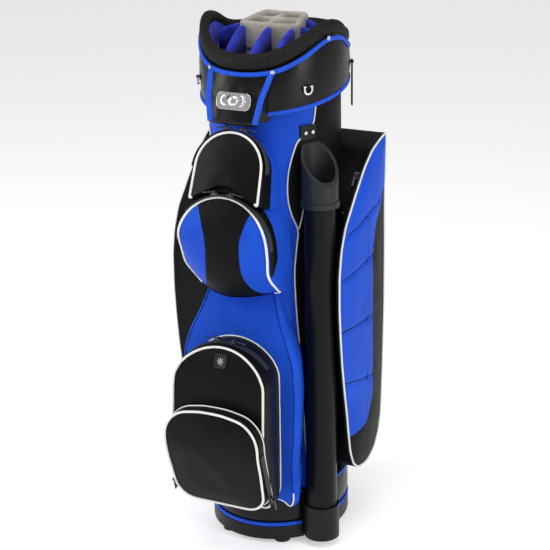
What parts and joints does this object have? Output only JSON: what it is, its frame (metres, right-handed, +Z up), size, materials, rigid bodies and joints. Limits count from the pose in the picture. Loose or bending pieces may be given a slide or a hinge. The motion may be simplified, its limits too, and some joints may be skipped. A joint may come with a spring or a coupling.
{
  "type": "golf cart bag",
  "caption": "Free-standing golf cart bag with a padded club divider, an outside putter tube, zipped pockets and a moulded base.",
  "frame": {"origin": "middle of the bag's footprint box, on the ground under the feet", "axes": "+Z up along the bag, -Y towards the pockets on its front, +X towards the putter tube's side"},
  "size_m": [0.316, 0.4144, 0.9311],
  "materials": {
    "black_vinyl": "soft sheen vinyl",
    "black_nylon": "fine woven nylon",
    "blue_mesh": "woven mesh over foam",
    "blue_webbing": "folded nylon webbing",
    "rim_mesh": "padded spacer mesh",
    "blue_velour": "brushed velour",
    "grey_velour": "brushed velour",
    "divider_cloth": "thin coated cloth",
    "moulded_black": "fine grain moulding",
    "tube_plastic": "smooth satin extrusion",
    "collar_rubber": "matte moulded rubber",
    "foot_rubber": "matte",
    "bright_metal": "polished",
    "zip_metal": "black nickel",
    "zip_tape": "woven tape with coil"
  },
  "bodies": {
    "bag": {"base_tub": "moulded_black", "base_feet": "foot_rubber", "base_wrap": "black_vinyl", "base_trims": "blue_webbing", "body_shell": "blue_mesh", "cuff_core": "moulded_black", "cuff_cover": "black_vinyl", "cuff_trims": "blue_webbing", "cuff_pad": "rim_mesh", "cuff_lining": "blue_velour", "front_tongue": "black_vinyl", "tongue_straps": "blue_webbing", "badge_plate": "bright_metal", "rivets": "bright_metal", "ring_lugs": "moulded_black", "strap_rings": "zip_metal", "divider_top": "grey_velour", "divider_walls": "blue_velour", "divider_panels": "divider_cloth", "putter_foot_cup": "moulded_black", "putter_sleeve": "tube_plastic", "putter_collar": "collar_rubber", "collar_bracket": "moulded_black", "valuables_pocket": "black_nylon", "mid_pocket": "blue_mesh", "mesh_pocket": "blue_mesh", "lower_pocket": "black_nylon", "cooler_tub": "black_nylon", "apparel_pocket_right": "blue_mesh", "apparel_pocket_left": "blue_mesh", "lens_pockets": "black_nylon", "zipper_tapes": "zip_tape", "back_panel": "black_nylon", "shoulder_strap": "black_nylon"},
    "cooler_lid": {"cooler_lid": "black_nylon"},
    "towel_ring_right": {"towel_ring_right": "zip_metal"},
    "towel_ring_left": {"towel_ring_left": "zip_metal"},
    "side_ring": {"side_ring": "zip_metal", "accessory_loop": "black_nylon"},
    "valuables_slider_right": {"valuables_slider_right": "zip_metal"},
    "valuables_pull_right": {"valuables_pull_right": "zip_metal"},
    "valuables_slider_left": {"valuables_slider_left": "zip_metal"},
    "valuables_pull_left": {"valuables_pull_left": "zip_metal"},
    "mid_slider_right": {"mid_slider_right": "zip_metal"},
    "mid_pull_right": {"mid_pull_right": "zip_metal"},
    "mid_slider_left": {"mid_slider_left": "zip_metal"},
    "mid_pull_left": {"mid_pull_left": "zip_metal"},
    "lower_slider_right": {"lower_slider_right": "zip_metal"},
    "lower_pull_right": {"lower_pull_right": "zip_metal"},
    "lower_slider_left": {"lower_slider_left": "zip_metal"},
    "lower_pull_left": {"lower_pull_left": "zip_metal"},
    "cooler_slider_right": {"cooler_slider_right": "zip_metal"},
    "cooler_pull_right": {"cooler_pull_right": "zip_metal"},
    "apparel_slider_right": {"apparel_slider_right": "zip_metal"},
    "apparel_pull_right": {"apparel_pull_right": "zip_metal"},
    "cooler_slider_left": {"cooler_slider_left": "zip_metal"},
    "cooler_pull_left": {"cooler_pull_left": "zip_metal"},
    "apparel_slider_left": {"apparel_slider_left": "zip_metal"},
    "apparel_pull_left": {"apparel_pull_left": "zip_metal"}
  },
  "joints": [
    {"name": "cooler_lid_hinge", "type": "hinge", "parent": "bag", "child": "cooler_lid", "pos_m": [0, -0.1667, 0.1145], "axis": [1, 0, 0], "range_deg": [0, 60]},
    {"name": "towel_ring_right_hinge", "type": "hinge", "parent": "bag", "child": "towel_ring_right", "pos_m": [0.10127, -0.03011, 0.821], "axis": [-0.5565, -0.8308, 0], "range_deg": [0, 85]},
    {"name": "towel_ring_left_hinge", "type": "hinge", "parent": "bag", "child": "towel_ring_left", "pos_m": [-0.10127, -0.03011, 0.821], "axis": [-0.5565, 0.8308, 0], "range_deg": [0, 85]},
    {"name": "side_ring_hinge", "type": "hinge", "parent": "bag", "child": "side_ring", "pos_m": [0.11189, 0.12136, 0.835], "axis": [0.4273, -0.9041, 0], "range_deg": [0, 60]},
    {"name": "valuables_slider_right_run", "type": "hinge", "parent": "bag", "child": "valuables_slider_right", "pos_m": [0, -0.12325, 0.69374], "axis": [0, 0.9349, -0.3549], "range_deg": [0, 76]},
    {"name": "valuables_pull_right_swing", "type": "hinge", "parent": "valuables_slider_right", "child": "valuables_pull_right", "pos_m": [0.01665, -0.09018, 0.75831], "axis": [0, -0.9349, 0.3549], "range_deg": [0, 30]},
    {"name": "valuables_slider_left_run", "type": "hinge", "parent": "bag", "child": "valuables_slider_left", "pos_m": [0, -0.12325, 0.69374], "axis": [0, -0.9349, 0.3549], "range_deg": [0, 76]},
    {"name": "valuables_pull_left_swing", "type": "hinge", "parent": "valuables_slider_left", "child": "valuables_pull_left", "pos_m": [-0.01665, -0.09018, 0.75831], "axis": [0, 0.9349, -0.3549], "range_deg": [0, 30]},
    {"name": "mid_slider_right_run", "type": "hinge", "parent": "bag", "child": "mid_slider_right", "pos_m": [0, -0.15, 0.571], "axis": [0, 1, 0], "range_deg": [0, 78]},
    {"name": "mid_pull_right_swing", "type": "hinge", "parent": "mid_slider_right", "child": "mid_pull_right", "pos_m": [0.01518, -0.141, 0.66174], "axis": [0, -1, 0], "range_deg": [0, 120]},
    {"name": "mid_slider_left_run", "type": "hinge", "parent": "bag", "child": "mid_slider_left", "pos_m": [0, -0.15, 0.571], "axis": [0, -1, 0], "range_deg": [0, 78]},
    {"name": "mid_pull_left_swing", "type": "hinge", "parent": "mid_slider_left", "child": "mid_pull_left", "pos_m": [-0.01518, -0.141, 0.66174], "axis": [0, 1, 0], "range_deg": [0, 120]},
    {"name": "lower_slider_right_run", "type": "hinge", "parent": "bag", "child": "lower_slider_right", "pos_m": [0, -0.159, 0.302], "axis": [0, 1, 0], "range_deg": [0, 34]},
    {"name": "lower_pull_right_swing", "type": "hinge", "parent": "lower_slider_right", "child": "lower_pull_right", "pos_m": [0.01489, -0.143, 0.40796], "axis": [0, -1, 0], "range_deg": [0, 120]},
    {"name": "lower_slider_left_run", "type": "hinge", "parent": "bag", "child": "lower_slider_left", "pos_m": [0, -0.159, 0.302], "axis": [0, -1, 0], "range_deg": [0, 34]},
    {"name": "lower_pull_left_swing", "type": "hinge", "parent": "lower_slider_left", "child": "lower_pull_left", "pos_m": [-0.01489, -0.143, 0.40796], "axis": [0, 1, 0], "range_deg": [0, 120]},
    {"name": "cooler_slider_right_run", "type": "slide", "parent": "bag", "child": "cooler_slider_right", "axis": [0, -0.3048, 0.9524], "range_m": [0, 0.084]},
    {"name": "cooler_pull_right_swing", "type": "hinge", "parent": "cooler_slider_right", "child": "cooler_pull_right", "pos_m": [0.097, -0.16684, 0.142], "axis": [0, -0.9524, -0.3048], "range_deg": [0, 120]},
    {"name": "apparel_slider_right_run", "type": "slide", "parent": "bag", "child": "apparel_slider_right", "axis": [0, -0.6848, -0.7287], "range_m": [0, 0.046]},
    {"name": "apparel_pull_right_swing", "type": "hinge", "parent": "apparel_slider_right", "child": "apparel_pull_right", "pos_m": [0.15, 0.05094, 0.65913], "axis": [-1, 0, 0], "range_deg": [0, 110]},
    {"name": "cooler_slider_left_run", "type": "slide", "parent": "bag", "child": "cooler_slider_left", "axis": [0, -0.3048, 0.9524], "range_m": [0, 0.084]},
    {"name": "cooler_pull_left_swing", "type": "hinge", "parent": "cooler_slider_left", "child": "cooler_pull_left", "pos_m": [-0.097, -0.16684, 0.142], "axis": [0, 0.9524, 0.3048], "range_deg": [0, 120]},
    {"name": "apparel_slider_left_run", "type": "slide", "parent": "bag", "child": "apparel_slider_left", "axis": [0, -0.6848, -0.7287], "range_m": [0, 0.046]},
    {"name": "apparel_pull_left_swing", "type": "hinge", "parent": "apparel_slider_left", "child": "apparel_pull_left", "pos_m": [-0.15, 0.05094, 0.65913], "axis": [-1, 0, 0], "range_deg": [0, 110]}
  ]
}
